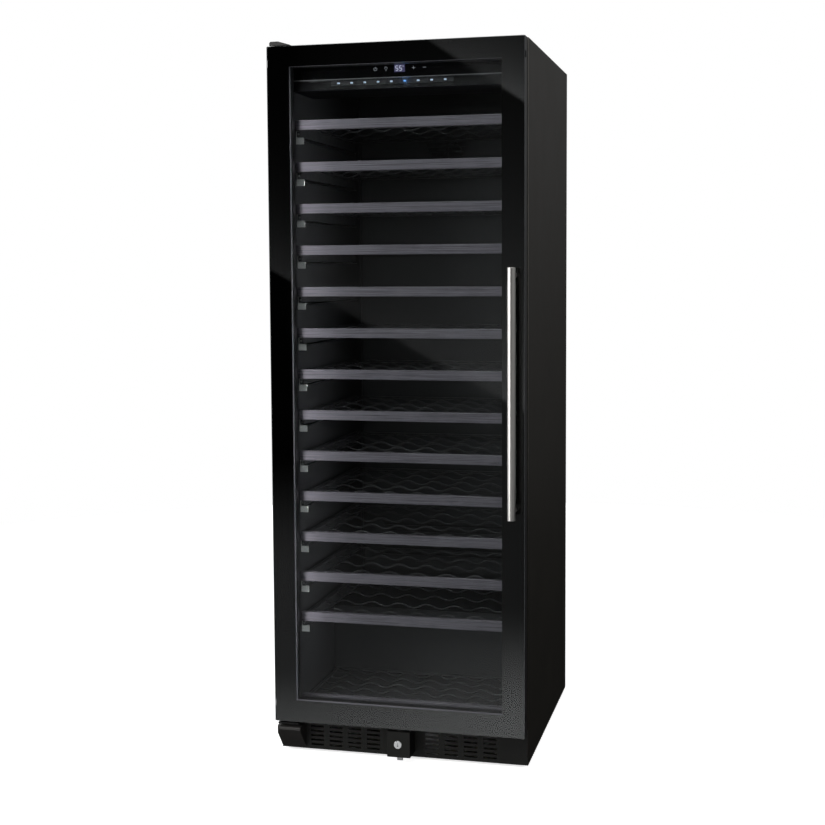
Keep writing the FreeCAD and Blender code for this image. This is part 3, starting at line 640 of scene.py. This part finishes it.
# a bright screw in the stop block at the front of each moving slide member
SHELF_COUNT = 13
BLOCK_X, BLOCK_FRONT, SCREW_DROP = 251.0, -228.3, 30.8
for number in range(1, SHELF_COUNT + 1):
    rail_top = corners_mm(f"shelf_trim_{number:02d}")[1].z
    spots = [((side * BLOCK_X, BLOCK_FRONT, rail_top - SCREW_DROP), (0, -1, 0)) for side in (-1, 1)]
    heads = screw_heads(spots, 2.4, 1.0)
    piece(f"shelf_screws_{number:02d}", heads, f"shelf_{number:02d}", steel_screw, smooth=40)


# ---- floor, reflector cards and lamps -------------------------------------------------------
def staged(name, bm, material, **visible):
    data = bpy.data.meshes.new(name)
    bm.to_mesh(data)
    bm.free()
    data.materials.append(material)
    made = bpy.data.objects.new(name, data)
    scene.collection.objects.link(made)
    for kind, shown in visible.items():
        setattr(made, "visible_" + kind, shown)


def staged_plane(name, corners, material, **visible):
    bm = bmesh.new()
    bm.faces.new([bm.verts.new(corner) for corner in corners])
    staged(name, bm, material, **visible)


def emitter(name):
    """An emission-only material; returns it with its tree and its shader."""
    material = bpy.data.materials.new(name)
    material.use_nodes = True
    tree = Tree(material.node_tree)
    material.node_tree.nodes.remove(material.node_tree.nodes["Principled BSDF"])
    shader = tree.node("Emission")
    tree.feed(material.node_tree.nodes["Material Output"].inputs["Surface"], shader.outputs[0])
    return material, tree, shader


# height of each panel's lower edge over the card: slope along X, and height at X = 0
PANEL_EDGE = (-0.538, 0.236)
SECOND_EDGE = (-0.66, 1.736)


def front_card():
    """What stands opposite the glass door in the studio: a pale floor with a dim wall above it,
    a soft panel whose lower edge slopes down to the right, and a second panel above that."""
    material, tree, shader = emitter("front_card")
    x, _, z = tree.axes()
    to_right = tree.span(x, -1.6, -0.4)

    def across(left, right):
        """A value that changes evenly from the left of the card to the right."""
        return tree.span(to_right, 0.0, 1.0, left, right)

    def fade(height, level, rate):
        return tree.math("MULTIPLY", tree.math("EXPONENT", tree.math("MULTIPLY", height, -rate)), level)

    def fall(low, high, level):
        """Full level below low, nothing above high."""
        return tree.span(z, low, high, level, 0.0, "SMOOTHSTEP")

    above_panel_edge = tree.math("SUBTRACT", z, tree.math("MULTIPLY_ADD", x, *PANEL_EDGE))
    above_second_edge = tree.math("SUBTRACT", z, tree.math("MULTIPLY_ADD", x, *SECOND_EDGE))
    floor = across(fall(-1.35, -0.95, 0.55), fall(-1.25, -0.55, 1.0))
    wall = across(fall(-0.5, 0.2, 0.22), 0.12)
    sweep = tree.math("ADD", floor, wall)
    panel = across(fade(above_panel_edge, 0.2, 4.0), fade(above_panel_edge, 0.6, 1.7))
    second = tree.math("MULTIPLY", fade(above_second_edge, 1.0, 4.5), tree.span(x, -0.9, -0.4, 0.2, 0.6))

    on_panel = tree.span(above_panel_edge, -0.01, 0.015)
    on_second = tree.span(above_second_edge, -0.01, 0.015)
    lower = tree.span(on_panel, 0.0, 1.0, sweep, panel)
    tree.feed(shader.inputs["Strength"], tree.span(on_second, 0.0, 1.0, lower, second))
    return material


only_glossy = dict(camera=False, diffuse=False, transmission=False, shadow=False, volume_scatter=False)
CARD_Y = -4.2
card_corners = [(x, CARD_Y, z) for x, z in rectangle(-3, 3, -1.7, 3)]
staged_plane("front_reflector", card_corners, front_card(), **only_glossy)


def surround():
    """A faint all-round gradient for the sheen of the black faces."""
    material, tree, shader = emitter("surround")
    z = tree.axes()[2]
    tree.feed(shader.inputs["Strength"], tree.span(z, 0.0, 3.5, 0.015, 0.16, "SMOOTHSTEP"))
    bm = bmesh.new()
    bmesh.ops.create_cone(bm, cap_ends=False, segments=48, radius1=6.5, radius2=6.5, depth=9.0)
    staged("surround", bm, material, **only_glossy)


surround()


def floor_finish():
    """White floor, lit from within except in the shade under the cabinet."""
    made = Surface("floor_finish", Roughness=0.9, Specular_IOR_Level=0.1)
    tone = made.noise(0.8, 2.0)
    made.set("Base Color", made.ramp(tone, [(0.3, grey(0.8)), (0.7, grey(0.84))]))
    made.set("Emission Color", colour(1, 1, 1))
    x, y, _ = made.axes()
    beside = made.span(made.math("ABSOLUTE", x), 0.25, 0.29)
    behind = made.span(made.math("ABSOLUTE", made.math("SUBTRACT", y, 0.05)), 0.265, 0.305)
    made.set("Emission Strength", made.math("MULTIPLY", made.math("MAXIMUM", beside, behind), 0.86))
    return made.material


FLOOR_RADIUS, FLOOR_SIDES = 3.4, 96
angles = [math.tau * i / FLOOR_SIDES for i in range(FLOOR_SIDES)]
rim = [(FLOOR_RADIUS * math.cos(angle), FLOOR_RADIUS * math.sin(angle), 0) for angle in angles]
staged_plane("floor", rim, floor_finish(), glossy=False, diffuse=False)


def softbox(name, centre, target, width, height, radiance, tint=(1, 1, 1)):
    """Rectangular lamp facing target. Its power gives the wanted radiance over its face."""
    light = bpy.data.lights.new(name, "AREA")
    light.shape = "RECTANGLE"
    light.size, light.size_y = width, height
    light.energy = radiance * math.pi * width * height
    light.color = tint
    made = bpy.data.objects.new(name, light)
    made.location = centre
    made.rotation_euler = (Vector(target) - Vector(centre)).to_track_quat("-Z", "Y").to_euler()
    made.visible_camera = False
    scene.collection.objects.link(made)
    return made


softbox("key_left", (-2.15, -2.9, 1.3), (0.1, -0.2, 1.0), 1.6, 2.8, 4.5)
softbox("front_top", (-0.3, -3.0, 3.0), (-0.1, -0.2, 0.9), 2.0, 1.1, 4.5)
softbox("side_left", (-3.1, -1.0, 1.1), (-0.1, -0.2, 0.9), 1.2, 2.4, 2.4)
softbox("top", (0, -0.2, 3.6), (0, 0, 0), 3.6, 3.6, 1.0)
softbox("side_right", (3.0, -1.6, 1.1), (0.2, -0.2, 0.9), 2.2, 2.4, 0.34)
softbox("rear_right", (1.7, 3.1, 1.5), (0.2, 0.2, 0.9), 1.4, 3.0, 0.06)
softbox("side_rear", (3.7, 2.3, 1.2), (0.2, 0.1, 0.8), 2.0, 2.4, 0.35)
softbox("side_fill", (3.6, 0.2, 1.2), (0.3, 0.1, 0.8), 2.0, 2.4, 2.1).visible_glossy = False
softbox("rear_left", (-1.0, 3.7, 1.5), (-0.1, 0.3, 0.8), 2.0, 2.4, 2.2)
softbox("floor_bounce", (-0.1, -1.1, 0.02), (-0.1, -0.25, 0.25), 1.6, 0.9, 1.7).visible_glossy = False
# slim lamps in the door opening: one washes the far wall, the other the near ends of the shelf fronts
for name, x, y, toward, radiance, spread in (
    ("jamb_right", 0.239, -0.222, (-0.25, -0.18), 42.0, 75),
    ("jamb_left", -0.251, -0.2635, (-0.15, -0.244), 16.0, 120),
):
    jamb = softbox(name, (x, y, 0.87), (*toward, 0.87), 0.014, 1.4, radiance)
    jamb.data.spread = math.radians(spread)
    jamb.visible_glossy = False

softbox("header_lamp", (-0.02, -0.22, 1.57), (-0.02, -0.15, 0), 0.28, 0.01, 3.0, (0.75, 0.86, 1.0))

halo = bpy.data.lights.new("blue_lamp", "POINT")
halo.energy = 0.012
halo.color = (0.15, 0.4, 1.0)
halo.shadow_soft_size = 0.002
halo_object = bpy.data.objects.new("blue_lamp", halo)
halo_object.location = (LAMP_X, -0.247, LAMP_Z)
halo_object.visible_camera = False
scene.collection.objects.link(halo_object)

world = bpy.data.worlds.new("studio")
world.use_nodes = True
world.node_tree.nodes["Background"].inputs["Color"].default_value = (1, 1, 1, 1)
world.node_tree.nodes["Background"].inputs["Strength"].default_value = 1.0
scene.world = world
for kind in ("diffuse", "glossy", "transmission", "scatter"):
    setattr(world.cycles_visibility, kind, False)
scene.view_settings.view_transform = "Standard"

# ---- camera -------------------------------------------------------------------------------
camera_data = bpy.data.cameras.new("camera")
camera_data.lens = 61.37
camera_data.sensor_width = 36.0
camera_data.shift_y = -0.043
camera = bpy.data.objects.new("camera", camera_data)
azimuth, pitch, roll = (math.radians(angle) for angle in (14.013, -4.420, -0.329))
camera.matrix_world = (
    Matrix.Translation((0.8087, -3.3877, 1.1501))
    @ Matrix.Rotation(azimuth, 4, "Z")
    @ Matrix.Rotation(math.pi / 2 + pitch, 4, "X")
    @ Matrix.Rotation(roll, 4, "Z")
)
scene.collection.objects.link(camera)
scene.camera = camera
